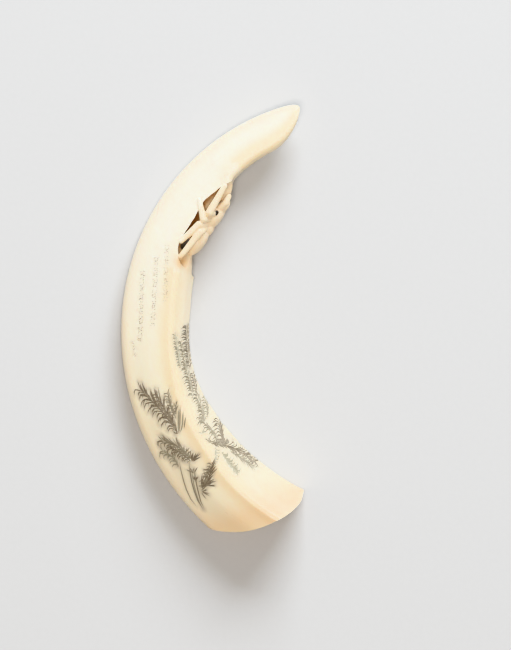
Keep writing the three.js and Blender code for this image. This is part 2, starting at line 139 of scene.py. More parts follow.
# One side's limbs: hip, knee and foot along the tusk and outwards, and how thick they are.
LEGS = [
    ((0.13, 0.005), (0.105, -0.05), (0.49, -0.088), 1.25),
    ((0.05, 0), (-0.01, -0.067), (0.162, -0.25), 1.15),
    ((-0.04, 0), (-0.1, -0.07), (-0.4, -0.13), 1.2),
    ((-0.1, 0.015), (-0.172, -0.003), (-0.57, -0.022), 1.2),
]
HIP_SPREAD = 0.36
KNEE_SWELL = 1.08
FOOT_TAPER = 0.75
KNEE_SUNK = {"upper": 0.55, "lower": 1.15}
FOOT_SUNK = {"upper": 0.1, "lower": 1.1}
PALP = [(0.23, 0.025, 0.3), (0.32, 0.045, 0.4), (0.415, 0.03, 0.32)]
PALP_THICK = 1.15
PALP_TAPER = 0.8
LIMB_SIDES = 20
LIMB_CAP_ROWS = 7
LIMB_CAP_HOLE = 0.05

# How the stains and painted shade of the hollow are found, and where edges stay crisp.
OCCLUSION_RAYS = 24
STAIN_AND_SHADE_REACH = 5
SHARP_ANGLE = math.radians(32)

# Where the tints lie: first and last place along the carving, its lowest place and the scoop's middle in
# spider lengths, the rest in millimetres.
CARVING_ALONG = (-0.75, 0.8)
CARVING_LOWEST = -0.32
SCOOP_PLACE = (-0.61, 0.02)
SCOOP_REACH = (2, 1.8)
# A band of stain and painted shade just inside the hollow's rim: how far in it lies and how wide it is.
RIM_STAIN_AND_SHADE_FROM = 0.5
RIM_STAIN_AND_SHADE_REACH = 0.9
RIM_FADE = 0.6
RIDGE_GLOW = (1.5, 2)
EDGE_GLOW = 2.4
ROOT_GLOW = 9
INNER_FADE = 3
# Shares of the edge length: where the tusk's own colour starts to age, and over how much.
AGED_FROM, AGED_OVER = 0.62, 0.4

# Colours, as linear light.
IVORY = (0.9, 0.885, 0.765)
INNER_TINT = (0.88, 0.72, 0.5)
AGED = (0.87, 0.78, 0.54)
WARM = (0.93, 0.76, 0.47)
ORANGE = (0.85, 0.62, 0.36)
ROSE = (0.9, 0.76, 0.62)
WASH = (0.36, 0.31, 0.25)
# Stain with painted shade, where the hollow hides part of the sky.
TAN_STAIN_AND_SHADE = (0.6, 0.38, 0.19)
SCOOP = (0.66, 0.4, 0.17)
SPIDER_TINT = (0.84, 0.67, 0.45)
# Stain with painted shade, near black where the hollow hides most of the sky.
CREVICE_STAIN_AND_SHADE = (0.3, 0.14, 0.065)
HORN = (0.006, 0.004, 0.003)
HORN_STREAK = (0.03, 0.014, 0.006)
INK_TONES = [(0.27, 0.22, 0.16), (0.32, 0.29, 0.21), (0.26, 0.22, 0.155), (0.2, 0.16, 0.11)]
PAPER = (0.5, 0.5, 0.5)
PAPER_FLECK = (0.485, 0.485, 0.484)

# The tints laid over the ivory one after another: the value that carries each, its colour and strength.
TUSK_TINTS = [
    ("inner", INNER_TINT, 0.7), ("aged", AGED, 0.7), ("warm", WARM, 0.75), ("root", ORANGE, 0.85),
    ("edge", ORANGE, 0.3),
]
CARVING_TINTS = [("wash", WASH, 0.5), ("carved", SPIDER_TINT, 0.6), ("scoop", SCOOP, 0.9)]
INK_ROUGHNESS = 0.6

# The view from above, a broad soft light beyond the tip, a weaker one overhead and a faint sky.
VIEW_WIDTH = 0.1563
VIEW_MIDDLE = (0.01315, -0.002)
LENS = 500
SENSOR_WIDTH = 36
SIGHT = 20
FLOOR_REACH = 3
SKY = (1.05, 1, 0.94)
SKY_STRENGTH = 0.29
COOL, WARM_LIGHT = (0.92, 1, 1.08), (1.08, 1, 0.92)
LIGHTS = [
    ("key", (0.56, 2.08, 1.05), (1.6, 0.9), 110, COOL),
    ("overhead", (-0.15, -0.55, 3.4), (1.4, 1.4), 74, WARM_LIGHT),
]


# Smooth values between stations, without overshoot, at an array of places.
def smooth_profile(stations, places):
    xs, ys = np.array(stations, float).T
    slopes = np.diff(ys) / np.diff(xs)
    before, after = slopes[:-1], slopes[1:]
    same_way = before * after > 0
    total = np.where(same_way, before + after, 1)
    inner = np.where(same_way, 2 * before * after / total, 0)
    tangents = np.concatenate([slopes[:1], inner, slopes[-1:]])
    at = np.clip(places, xs[0], xs[-1])
    i = np.clip(np.searchsorted(xs, at) - 1, 0, len(xs) - 2)
    span = xs[i + 1] - xs[i]
    u = (at - xs[i]) / span
    return (
        ys[i] * (1 + 2 * u) * (1 - u) ** 2
        + tangents[i] * span * u * (1 - u) ** 2
        + ys[i + 1] * u * u * (3 - 2 * u)
        + tangents[i + 1] * span * u * u * (u - 1)
    )


def heading_at(along):
    tighten = (1 / TIP_BEND_RADIUS - 1 / ROOT_BEND_RADIUS) / (2 * EDGE_LENGTH)
    return math.radians(ROOT_HEADING_DEG) - along / ROOT_BEND_RADIUS - tighten * along * along


CUT_FACING = heading_at(0) + math.pi - math.radians(CUT_SKEW_DEG)


# The outer edge, summed once along its heading from the root corner.
EDGE_TABLE_STEP = 0.05
EDGE_BEFORE, EDGE_BEYOND = 45, 12
EDGE_TABLE_S = np.arange(-EDGE_BEFORE, EDGE_LENGTH + EDGE_BEYOND, EDGE_TABLE_STEP)


def edge_table():
    middles = heading_at(EDGE_TABLE_S[:-1] + EDGE_TABLE_STEP / 2)
    points = np.zeros((len(EDGE_TABLE_S), 2))
    points[1:, 0] = np.cumsum(np.cos(middles)) * EDGE_TABLE_STEP
    points[1:, 1] = np.cumsum(np.sin(middles)) * EDGE_TABLE_STEP
    start = [np.interp(0, EDGE_TABLE_S, points[:, axis]) for axis in (0, 1)]
    return points - start


EDGE_TABLE = edge_table()


def edge_point(along):
    return tuple(np.interp(along, EDGE_TABLE_S, EDGE_TABLE[:, axis]) for axis in (0, 1))


# Points by length along the outer edge, distance in from it, and height.
def place_on_tusk(along, inward, height):
    x, y = edge_point(along)
    heading = heading_at(along)
    place = [x + inward * np.sin(heading), y - inward * np.cos(heading), height + 0 * x]
    return np.stack(np.broadcast_arrays(*place), axis=-1)


# The length along the edge and the distance in from it, of plan points.
def stations_of(x, y):
    along = np.full(np.shape(x), EDGE_LENGTH / 2)
    for _ in range(30):
        ex, ey = edge_point(along)
        heading = heading_at(along)
        step = (x - ex) * np.cos(heading) + (y - ey) * np.sin(heading)
        along = np.clip(along + 0.9 * step, EDGE_TABLE_S[0], EDGE_TABLE_S[-1])
    ex, ey = edge_point(along)
    heading = heading_at(along)
    return along, (x - ex) * np.sin(heading) - (y - ey) * np.cos(heading)


def lift_at(along):
    share = np.maximum(0, (along / EDGE_LENGTH - LIFT_STARTS) / (1 - LIFT_STARTS))
    return TIP_LIFT * share**2


def nose_share(along):
    left = np.clip((EDGE_LENGTH - along) / TIP_NOSE_LENGTH, 0, 1)
    return (1 - (1 - left) ** NOSE_POWERS[0]) ** NOSE_POWERS[1]


# The three corner circles, each (inward, height, radius): outer edge, lower inner edge and ridge.
def corners_at(along):
    share = along / EDGE_LENGTH
    nose = np.maximum(nose_share(along), NOSE_LEAST)
    corner = TIP_CORNER * (1 - nose) ** 3
    width = ROOT_WIDTH * smooth_profile(WIDTHS, share) * nose
    height = ROOT_HEIGHT * smooth_profile(HEIGHTS, share) * nose
    lean = ROOT_LEAN * smooth_profile(LEANS, share) * nose
    edge = np.minimum(EDGE_RADIUS * smooth_profile(EDGE_RADII, share) * nose, 0.47 * height)
    inner, ridge = INNER_RADIUS * nose, RIDGE_RADIUS * nose
    floor = lift_at(along) + (1 - nose) * NOSE_RISE * ROOT_HEIGHT * HEIGHTS[-1][1]
    return [
        (corner + edge, floor + edge, edge),
        (corner + width - inner, floor + inner, inner),
        (corner + width - lean - ridge / 2, floor + height - ridge, ridge),
    ]


# Lengths round the section, in the order underside, inner edge, inner face, ridge, upper face, edge.
BOTTOM, INNER_ARC, INNER_FACE, RIDGE_ARC, UPPER_FACE, EDGE_ARC = range(6)
ROUND_LENGTHS = np.array([20.0, 3.0, 14.0, 3.0, 15.0, 10.0])
ROUND_STARTS = np.concatenate([[0], np.cumsum(ROUND_LENGTHS)])
ROUND = ROUND_STARTS[-1]


# The inward distance and height of the skin at lengths along and round the tusk.
def section_point(along, around):
    corners = corners_at(along)
    swell = smooth_profile(SWELLS, along / EDGE_LENGTH) * nose_share(along)
    swells = [0 * swell, INNER_FACE_SWELL * swell, UPPER_FACE_SWELL * swell]
    normals = []
    for k in range(3):
        (ax, az, ar), (bx, bz, br) = corners[k], corners[(k + 1) % 3]
        reach = np.hypot(bx - ax, bz - az)
        normals.append(np.arctan2(bz - az, bx - ax) - np.pi / 2 - np.arcsin((br - ar) / reach))
    part = np.clip(np.searchsorted(ROUND_STARTS, around, side="right") - 1, 0, 5)
    t = (around - ROUND_STARTS[part]) / ROUND_LENGTHS[part]
    w, z = np.zeros(np.shape(along)), np.zeros(np.shape(along))
    for k in range(3):
        (ax, az, ar), (bx, bz, br) = corners[k], corners[(k + 1) % 3]
        side = part == (2 * k) % 6
        radius = ar + (br - ar) * t + swells[k] * np.sin(np.pi * t) ** 2
        w = np.where(side, ax + (bx - ax) * t + radius * np.cos(normals[k]), w)
        z = np.where(side, az + (bz - az) * t + radius * np.sin(normals[k]), z)
        arc = part == (2 * k + 5) % 6
        turn = (normals[k] - normals[k - 1]) % (2 * np.pi)
        angle = normals[k] - turn * (1 - t)
        w = np.where(arc, ax + ar * np.cos(angle), w)
        z = np.where(arc, az + ar * np.sin(angle), z)
    return w, z


def skin_point(along, around):
    w, z = section_point(along, around)
    return place_on_tusk(along, w, z)


# The length round the section of points seen from above, by their distance in from the edge.
def around_from_above(along, inward):
    tries = np.linspace(ROUND_STARTS[INNER_FACE] - 1, ROUND - 4, 160)
    w, _ = section_point(np.repeat(along[:, None], len(tries), 1), np.tile(tries, (len(along), 1)))
    return np.array([np.interp(inward[i], w[i, ::-1], tries[::-1]) for i in range(len(along))])


# The spider's frame: along the tusk to the tip, out of the inner curve, and up.
SPIDER_ALONG = SPIDER_STATION * EDGE_LENGTH
SPIDER_HEADING = heading_at(SPIDER_ALONG)
SPIDER_INWARD = SPIDER_DEPTH * ROOT_WIDTH * float(smooth_profile(WIDTHS, SPIDER_STATION))


def spider_frame():
    around = np.linspace(0, ROUND, 400)
    _, z = section_point(np.full(400, SPIDER_ALONG), around)
    middle = (z.max() + z.min()) / 2
    return place_on_tusk(SPIDER_ALONG, SPIDER_INWARD, middle), (z.max() - z.min()) / 2


SPIDER_ORIGIN, HALF_THICKNESS = spider_frame()


def from_spider(along, outward, across):
    c, s = math.cos(SPIDER_HEADING), math.sin(SPIDER_HEADING)
    place = [
        SPIDER_ORIGIN[0] + along * c + outward * s,
        SPIDER_ORIGIN[1] + along * s - outward * c,
        SPIDER_ORIGIN[2] + across,
    ]
    return np.stack(np.broadcast_arrays(*place), axis=-1)


def to_spider(points):
    c, s = math.cos(SPIDER_HEADING), math.sin(SPIDER_HEADING)
    d = points - SPIDER_ORIGIN
    return d[:, 0] * c + d[:, 1] * s, d[:, 0] * s - d[:, 1] * c, d[:, 2]


# Meshes from points and faces, in millimetres.
def mesh_object(name, points, faces, materials=()):
    mesh = bpy.data.meshes.new(name)
    mesh.from_pydata([tuple(p) for p in points], [], [tuple(f) for f in faces])
    bm = bmesh.new()
    bm.from_mesh(mesh)
    bmesh.ops.remove_doubles(bm, verts=bm.verts, dist=1e-5)
    bmesh.ops.recalc_face_normals(bm, faces=bm.faces)
    if bm.calc_volume(signed=True) < 0:
        bmesh.ops.reverse_faces(bm, faces=bm.faces)
    bm.to_mesh(mesh)
    bm.free()
    for material in materials:
        mesh.materials.append(material)
    piece = bpy.data.objects.new(name, mesh)
    bpy.context.scene.collection.objects.link(piece)
    return piece


# Faces of a grid of rings, closed round each ring.
def ring_faces(rings, sides):
    r, i = np.meshgrid(np.arange(rings - 1), np.arange(sides), indexing="ij")
    a = r * sides + i
    b = r * sides + (i + 1) % sides
    return np.stack([a, b, b + sides, a + sides], axis=-1).reshape(-1, 4).tolist()


def closed_sweep(name, rings, materials=()):
    count, sides = rings.shape[:2]
    faces = ring_faces(count, sides)
    first, last = list(range(sides)), list(range((count - 1) * sides, count * sides))
    return mesh_object(name, rings.reshape(-1, 3), faces + [first[::-1], last], materials)


# Engraved strokes: centre lines in plan, with a width and a tone, laid out below.
STROKES = []


def add_stroke(points, width, tone):
    STROKES.append((np.array(points, float), width, tone))


# The finished skin of the tusk: a fine grid along and round it, with every engraved stroke cut in as a
# small V, whose faces have a dark material of their own.
SKIN_STEP = 1.2
SKIN_START = -0.165 * EDGE_LENGTH
NOSE_STEPS = 22
ROUND_STEPS = [16, 5, 14, 7, 15, 14]
KEEP_CLEAR = 0.35
# A groove's depth as a share of its width, the spacing and the fewest and most points of a stroke's centre
# line, and how far its ends are tapered, as shares of half a turn.
GROOVE_DEPTH = 0.35
STROKE_STEP = 0.8
STROKE_POINTS = (3, 6)
STROKE_ENDS = (0.12, 0.92)


def round_samples():
    parts = [
        ROUND_STARTS[k] + ROUND_LENGTHS[k] * np.arange(n) / n for k, n in enumerate(ROUND_STEPS)
    ]
    return np.concatenate(parts + [[ROUND]])


def along_samples():
    nose_start = EDGE_LENGTH - TIP_NOSE_LENGTH
    count = int((nose_start - SKIN_START) / SKIN_STEP)
    nose = nose_start + TIP_NOSE_LENGTH * np.sin(np.linspace(0, np.pi / 2, NOSE_STEPS)[1:])
    return np.concatenate([np.linspace(SKIN_START, nose_start, count), nose])


# A stroke's outline and centre line in the unrolled skin, tapered at both ends.
def stroke_shape(points, width):
    steps = np.hypot(*np.diff(points, axis=0).T)
    run = np.concatenate([[0], np.cumsum(steps)])
    count = int(np.clip(run[-1] / STROKE_STEP + 2, *STROKE_POINTS))
    at = np.linspace(0, run[-1], count)
    line = np.stack([np.interp(at, run, points[:, axis]) for axis in (0, 1)], axis=1)
    tangent = np.gradient(line, axis=0)
    tangent /= np.hypot(*tangent.T)[:, None] + 1e-9
    normal = np.stack([-tangent[:, 1], tangent[:, 0]], axis=1)
    half = width / 2 * np.sin(np.pi * np.linspace(*STROKE_ENDS, count)) ** 0.7
    left, right = line + normal * half[:, None], line - normal * half[:, None]
    outline = np.concatenate([line[:1], right[1:-1], line[-1:], left[1:-1][::-1]])
    return outline, line, half


def distance_to_line(points, line):
    best = np.full(len(points), 1e9)
    for a, b in zip(line[:-1], line[1:]):
        d = b - a
        t = np.clip(((points - a) @ d) / (d @ d + 1e-12), 0, 1)
        best = np.minimum(best, np.hypot(*(points - a - t[:, None] * d).T))
    return best


# Which points lie in the box round a line, widened by a margin.
def near_line(points, line, margin):
    return ((points > line.min(0) - margin) & (points < line.max(0) + margin)).all(1)


def unrolled_strokes():
    shapes = []
    for points, width, tone in STROKES:
        along, inward = stations_of(points[:, 0], points[:, 1])
        around = around_from_above(along, inward)
        seen_aslant = around.mean() < ROUND_STARTS[RIDGE_ARC]
        width *= INNER_WIDENING if seen_aslant else 1
        outline, line, half = stroke_shape(np.stack([along, around], axis=1), width)
        shapes.append((outline, line, half.max(), tone))
    return shapes


# The points of the plain grid that no stroke runs close to.
def clear_of_strokes(points, shapes):
    clear = np.ones(len(points), bool)
    for _, line, half, _ in shapes:
        margin = half + KEEP_CLEAR
        near = np.where(near_line(points, line, margin) & clear)[0]
        clear[near[distance_to_line(points[near], line) < margin]] = False
    return points[clear]


def groove_depths(spots, shapes):
    depths = np.zeros(len(spots))
    for _, line, half, _ in shapes:
        near = np.where(near_line(spots, line, half))[0]
        cut = 1 - distance_to_line(spots[near], line) / half
        depths[near] = np.maximum(depths[near], GROOVE_DEPTH * 2 * half * np.clip(cut, 0, 1))
    return depths


def skin_object(materials):
    shapes = unrolled_strokes()
    grid = np.stack(np.meshgrid(along_samples(), round_samples(), indexing="ij"), axis=-1)
    border = np.concatenate([grid[0], grid[1:-1, -1], grid[-1, ::-1], grid[1:-1, 0][::-1]])
    inside = clear_of_strokes(grid[1:-1, 1:-1].reshape(-1, 2), shapes)
    points = [*border.tolist(), *inside.tolist()]
    edges = [(i, (i + 1) % len(border)) for i in range(len(border))]
    faces = []
    for outline, line, _, _ in shapes:
        first, middle = len(points), len(points) + len(outline)
        points += [*outline.tolist(), *line.tolist()]
        faces.append(list(range(first, middle)))
        edges += [(i, i + 1) for i in range(middle, len(points) - 1)]
    flat = [Vector(p) for p in points]
    out_points, _, out_faces, _, _, face_ids = delaunay_2d_cdt(flat, edges, faces, 0, 1e-5)
    spots = np.array([tuple(p) for p in out_points])
    solid = skin_point(spots[:, 0], spots[:, 1])
    solid -= skin_normals(spots) * groove_depths(spots, shapes)[:, None]
    ids = [sorted(i for i in found if i < len(shapes)) for found in face_ids]
    tones = [1 + shapes[found[0]][3] if found else 0 for found in ids]
    return close_skin(solid, spots, [list(f) for f in out_faces], tones, materials)


def skin_normals(spots):
    step = 0.05
    s, u = spots[:, 0], spots[:, 1]
    du = skin_point(s, np.minimum(u + step, ROUND)) - skin_point(s, np.maximum(u - step, 0))
    ds = skin_point(s + step, u) - skin_point(s - step, u)
    normal = np.cross(du, ds)
    return -normal / (np.linalg.norm(normal, axis=1)[:, None] + 1e-12)


def close_skin(points, spots, faces, tones, materials):
    ends = []
    for value, flip in ((spots[:, 0].min(), False), (spots[:, 0].max(), True)):
        ring = np.where((np.abs(spots[:, 0] - value) < 1e-6) & (spots[:, 1] < ROUND - 1e-6))[0]
        ring = ring[np.argsort(spots[ring, 1])].tolist()
        ends.append(ring[::-1] if flip else ring)
    mesh = bpy.data.meshes.new("skin")
    mesh.from_pydata([tuple(p) for p in points], [], faces + ends)
    for material in materials:
        mesh.materials.append(material)
    mesh.polygons.foreach_set("material_index", np.array(tones + [0, 0], dtype=np.int32))
    bm = bmesh.new()
    bm.from_mesh(mesh)
    bmesh.ops.remove_doubles(bm, verts=bm.verts, dist=1e-4)
    bmesh.ops.triangulate(bm, faces=[f for f in bm.faces if len(f.verts) > 4])
    if bm.calc_volume(signed=True) < 0:
        bmesh.ops.reverse_faces(bm, faces=bm.faces)
    bm.to_mesh(mesh)
    bm.free()
    piece = bpy.data.objects.new("skin", mesh)
    bpy.context.scene.collection.objects.link(piece)
    return piece


# Where things lie on the finished skin. Tones are counted from the palest ink to the darkest.
FAINT, SAGE, BROWN, DARK = range(4)
RANDOM = random.Random(11)

# Engraved plumes: the spine from its tip to its foot in plan, the number of barbs on each side, the
# length of the hooked barbs on its left and of the plain ones on its right, and their tone.
PLUMES = [
    ([(-20.3, 41.6), (-14.8, 36.6), (-11.8, 32.8), (-9.2, 29.0)], 18, 3.4, 4.6, DARK),
    ([(-16.0, 40.6), (-13.0, 36.0), (-10.4, 31.0)], 8, 2.0, 3.6, DARK),
    ([(-12.4, 40.8), (-11.6, 37.4), (-9.8, 33.2)], 8, 1.6, 2.2, BROWN),
    ([(-9.9, 37.8), (-9.9, 34.4)], 4, 0.8, 1.6, BROWN),
    ([(-13.9, 26.7), (-9.4, 25.2), (-5.0, 20.8)], 13, 2.9, 3.2, BROWN),
    ([(-11.8, 24.6), (-8.4, 23.0), (-5.2, 20.2)], 9, 2.2, 1.8, DARK),
    ([(-13.6, 23.2), (-11.0, 21.8), (-8.8, 18.4)], 7, 2.3, 2.2, SAGE),
    ([(1.0, 19.2), (0.6, 16.6), (-0.4, 13.6), (-2.2, 12.2)], 7, 2.0, 3.0, DARK),
    ([(-0.6, 17.4), (-0.9, 14.4), (-2.0, 11.0)], 5, 1.6, 2.8, BROWN),
    ([(-10.2, 58.6), (-9.3, 54.4), (-8.2, 48.6)], 13, 1.4, 2.0, SAGE),
    ([(-6.6, 61.0), (-6.3, 54.4), (-5.4, 48.2)], 18, 1.7, 2.2, DARK),
    ([(-8.2, 56.6), (-7.4, 52.0), (-6.6, 47.4)], 11, 1.5, 1.7, BROWN),
    ([(-6.8, 49.8), (-5.5, 44.2), (-4.4, 39.2)], 15, 1.9, 2.1, BROWN),
    ([(-4.6, 46.8), (-4.0, 43.2), (-3.4, 39.8)], 9, 1.3, 1.6, DARK),
    ([(-3.4, 40.2), (-1.9, 36.4), (-1.0, 32.0)], 12, 2.0, 2.2, BROWN),
    ([(-0.7, 40.0), (-0.4, 36.6), (-0.2, 33.4)], 8, 1.4, 1.6, BROWN),
    ([(-2.4, 33.4), (0.0, 30.8), (2.6, 28.4)], 9, 1.8, 2.0, BROWN),
    ([(3.2, 32.6), (3.9, 28.8), (4.7, 25.0)], 9, 2.0, 2.4, DARK),
    ([(1.6, 28.8), (3.0, 26.8), (4.6, 24.8)], 6, 1.6, 1.8, BROWN),
    ([(14.2, 20.4), (10.2, 23.2), (5.8, 25.2), (0.6, 26.0)], 20, 2.6, 2.8, DARK),
    ([(13.6, 18.7), (10.0, 21.4), (6.4, 23.8)], 12, 1.9, 2.2, BROWN),
    ([(8.8, 17.2), (6.4, 20.2), (4.0, 23.4)], 10, 1.8, 2.0, SAGE),
    ([(2.0, 20.2), (2.6, 22.6), (2.4, 25.0)], 6, 1.5, 1.5, SAGE),
]
# Bare stems and blades, from the top down.
STEMS = [
    ([(-8.9, 20.4), (-6.9, 12.2), (-4.9, 7.8), (-3.5, 6.3)], 0.42, BROWN),
    ([(-5.8, 20.0), (-4.9, 13.4), (-3.3, 8.5), (-1.6, 5.5)], 0.5, BROWN),
    ([(-4.3, 18.4), (-3.1, 11.4), (-2.0, 7.0), (-1.2, 5.6)], 0.5, BROWN),
    ([(-5.1, 18.8), (-4.2, 12.4), (-2.7, 7.7), (-1.5, 5.5)], 0.4, SAGE),
    ([(-8.9, 36.6), (-9.1, 28.8)], 0.6, SAGE),
    ([(-8.3, 37.4), (-8.6, 31.0), (-8.9, 28.8)], 0.42, BROWN),
    ([(-7.4, 36.2), (-7.9, 30.6), (-8.8, 28.8)], 0.55, SAGE),
    ([(-6.7, 34.2), (-7.4, 30.2)], 0.42, BROWN),
]
# Sprays of plain blades: their common foot, their length, the first and last heading in degrees, their
# number and tone.
SPRAYS = [
    ((-5.0, 20.4), 3.6, 95, 22, 8, DARK),
    ((-7.0, 22.6), 2.4, 130, 40, 6, BROWN),
    ((-2.3, 12.6), 5.2, 84, 12, 9, DARK),
    ((-1.0, 13.4), 3.8, 50, -8, 7, DARK),
    ((-1.9, 11.0), 2.6, 30, -50, 5, BROWN),
    ((-4.6, 16.8), 2.6, 150, 60, 6, BROWN),
    ((-3.8, 14.4), 2.2, 130, 50, 6, DARK),
    ((-9.2, 28.8), 2.2, 175, 100, 5, DARK),
    ((-1.6, 28.8), 1.8, 170, 30, 6, SAGE),
    ((0.2, 26.4), 2.2, 150, 20, 7, BROWN),
    ((4.7, 25.0), 3.0, 120, 60, 7, DARK),
]
# The columns of little marks on the upper face, each from its top to its foot.
COLUMNS = [
    ((-12.6, 86.2), (-13.1, 69.1), 0.75),
    ((-15.8, 82.6), (-16.9, 61.5), 0.8),
    ((-20.1, 78.3), (-20.8, 56.9), 0.75),
    ((-23.2, 57.0), (-22.2, 52.2), 0.35),
]
MARK_PITCH = 0.55
MARK_WIDTH = 0.27
MARK_ANGLES = (0.15, -0.3, 1.2, 1.7, 0.5)
MARK_ROWS = 5
BARB_WIDTH = 0.4
SPINE_WIDTH = 0.44
INNER_WIDENING = 1.3
HOOK = np.array([(0, 0), (0.34, 0.14), (0.58, 0.42), (0.46, 0.8), (0.3, 0.98)])
BARB = np.array([(0, 0), (0.45, 0.2), (0.88, 0.46)])
# How far ink has spread round each stroke, its share by tone, and the lowest point that has any.
WASH_REACH = 0.55
WASH_SHARES = (0.12, 0.35, 0.45, 0.5)
WASH_LOWEST = 2


def along_line(points, share):
    points = np.array(points, float)
    run = np.concatenate([[0], np.cumsum(np.hypot(*np.diff(points, axis=0).T))])
    at = share * run[-1]
    place = np.array([np.interp(at, run, points[:, axis]) for axis in (0, 1)])
    ahead = np.array([np.interp(at - 0.4, run, points[:, axis]) for axis in (0, 1)])
    behind = np.array([np.interp(at + 0.4, run, points[:, axis]) for axis in (0, 1)])
    return place, (ahead - behind) / np.hypot(*(ahead - behind))


# Barbs on both sides of a spine, longest near its middle, each with a shorter, mostly paler one by it.
def add_plume(spine, barbs, left, right, tone):
    add_stroke(spine, SPINE_WIDTH, tone)
    for i in range(2 * barbs):
        main = i % 2 == 0
        share = (i + 0.5) / (2 * barbs)
        size = 0.5 + 0.65 * math.sin(math.pi * (0.14 + 0.76 * share)) ** 0.8
        for side, length, shape in ((-1, left, HOOK), (1, right, BARB)):
            place, forward = along_line(spine, share + RANDOM.uniform(-0.2, 0.2) / barbs)
            outward = side * np.array([forward[1], -forward[0]])
            reach = length * size * (RANDOM.uniform(0.8, 1.12) if main else RANDOM.uniform(0.45, 0.8))
            curl = shape * (RANDOM.uniform(0.8, 1.3), RANDOM.uniform(0.7, 1.05))
            points = place + reach * (curl[:, :1] * forward + curl[:, 1:] * outward)
            width = BARB_WIDTH * RANDOM.uniform(0.8, 1.15) * (1 if main else 0.75)
            add_stroke(points, width, tone if main else max(SAGE, tone - 1))


def add_spray(foot, length, first, last, blades, tone):
    for i in range(blades):
        angle = math.radians(first + (last - first) * (i + RANDOM.uniform(-0.3, 0.3)) / (blades - 1))
        reach = length * RANDOM.uniform(0.6, 1)
        start = (foot[0] + RANDOM.uniform(-0.3, 0.3), foot[1] + RANDOM.uniform(-0.3, 0.3))
        tip = (start[0] + reach * math.cos(angle), start[1] + reach * math.sin(angle))
        add_stroke([start, tip], BARB_WIDTH, tone)


# A column of short strokes, two in a row, with a gap after every few rows.
def add_marks(top, foot, spread):
    count = int(math.dist(top, foot) / MARK_PITCH)
    for i in range(count):
        if i % (MARK_ROWS + 1) == MARK_ROWS:
            continue
        share = (i + 0.5) / count
        for offset in (-0.5, 0.5):
            x = top[0] + (foot[0] - top[0]) * share + spread * (offset + RANDOM.uniform(-0.3, 0.3))
            y = top[1] + (foot[1] - top[1]) * share + RANDOM.uniform(-0.2, 0.2)
            angle = RANDOM.choice(MARK_ANGLES) + RANDOM.uniform(-0.2, 0.2)
            reach = spread * RANDOM.uniform(0.35, 0.75)
            step = (reach * math.cos(angle), reach * math.sin(angle))
            add_stroke([(x - step[0], y - step[1]), (x + step[0], y + step[1])], MARK_WIDTH, FAINT)


def lay_out_engraving():
    for plume in PLUMES:
        add_plume(*plume)
    for points, width, tone in STEMS:
        add_stroke(points, width, tone)
    for spray in SPRAYS:
        add_spray(*spray)
    for column in COLUMNS:
        add_marks(*column)


# Cutting and joining solids.
def settle(piece):
    graph = bpy.context.evaluated_depsgraph_get()
    mesh = bpy.data.meshes.new_from_object(piece.evaluated_get(graph))
    piece.modifiers.clear()
    piece.data = mesh


def combine(piece, tool, operation):
    step = piece.modifiers.new(operation, "BOOLEAN")
    step.operation = operation
    step.solver = "MANIFOLD"
    step.object = tool
    settle(piece)
    bpy.data.objects.remove(tool)


def moved(points, pose):
    return np.array([pose @ Vector(p) for p in points])


# A ball in rows and sides, whose unit points a function puts in place.
def round_solid(name, materials, sides, rows, place):
    angles = np.linspace(0, 2 * np.pi, sides, endpoint=False)
    falls = np.linspace(-np.pi / 2, np.pi / 2, rows + 1)
    rings = []
    for fall in falls:
        radius = max(math.cos(fall), 1e-3)
        ring = [radius * np.cos(angles), radius * np.sin(angles), np.full(sides, math.sin(fall))]
        rings.append(np.stack(ring, axis=-1))
    return closed_sweep(name, np.array([place(ring) for ring in rings]), materials)


# The saw's cut: everything beyond a dome that leans over its foot.
def root_cut(materials):
    middle_along, middle_height = CUT_MIDDLE[0] * ROOT_WIDTH, CUT_MIDDLE[1] * ROOT_HEIGHT
    sunk = math.sqrt(CUT_DOME_RADIUS**2 - middle_along**2)
    corner = Vector(place_on_tusk(0.0, 0.0, EDGE_RADIUS))
    pose = (
        Matrix.Translation(corner)
        @ Matrix.Rotation(CUT_FACING, 4, "Z")
        @ Matrix.Rotation(math.radians(CUT_LEAN_DEG), 4, "Y")
    )
    heart = np.array([-sunk, middle_along, middle_height - EDGE_RADIUS])
    dome = round_solid("dome", materials, 160, 120, lambda p: moved(p * CUT_DOME_RADIUS + heart, pose))
    size = 2 * EDGE_LENGTH
    x, y, z = ((-CUT_SKIRT, size), (-size, size), (-size, size))
    corners = np.array([(a, b, c) for c in z for b in y for a in x], float)
    faces = [(0, 1, 3, 2), (4, 5, 7, 6), (0, 1, 5, 4), (2, 3, 7, 6), (0, 2, 6, 4), (1, 3, 7, 5)]
    block = mesh_object("root_cut", moved(corners, pose), faces, materials)
    combine(block, dome, "DIFFERENCE")
    return block


# The pulp cavity follows the tusk's own sections about their middles and narrows to a point.
def pulp_cavity(materials):
    start = SKIN_START - 5
    alongs = np.linspace(start, CAVITY_DEPTH, 70)
    around = round_samples()[:-1]
    rings = []
    for s in alongs:
        heart_x, heart_z, reach = section_heart(s)
        deep = max(0, (s - SKIN_START) / (CAVITY_DEPTH - SKIN_START))
        wall = CAVITY_WALL + (CAVITY_POINT * reach - CAVITY_WALL) * deep * deep
        scale = 1 - wall / reach
        w, z = section_point(np.full(len(around), s), around)
        rings.append(place_on_tusk(s, heart_x + (w - heart_x) * scale, heart_z + (z - heart_z) * scale))
    return closed_sweep("pulp_cavity", np.array(rings), materials)


def section_heart(along):
    edge, inner, ridge = (np.array(corner, float) for corner in corners_at(along))
    pairs = ((ridge, inner), (edge, ridge), (edge, inner))
    facing = [math.dist(first[:2], second[:2]) for first, second in pairs]
    mean = (facing[0] * edge + facing[1] * inner + facing[2] * ridge) / sum(facing)
    (ax, az), (bx, bz) = ridge[:2] - edge[:2], inner[:2] - edge[:2]
    reach = abs(ax * bz - az * bx) / sum(facing) + (edge[2] + inner[2] + ridge[2]) / 3
    return mean[0], mean[1], reach


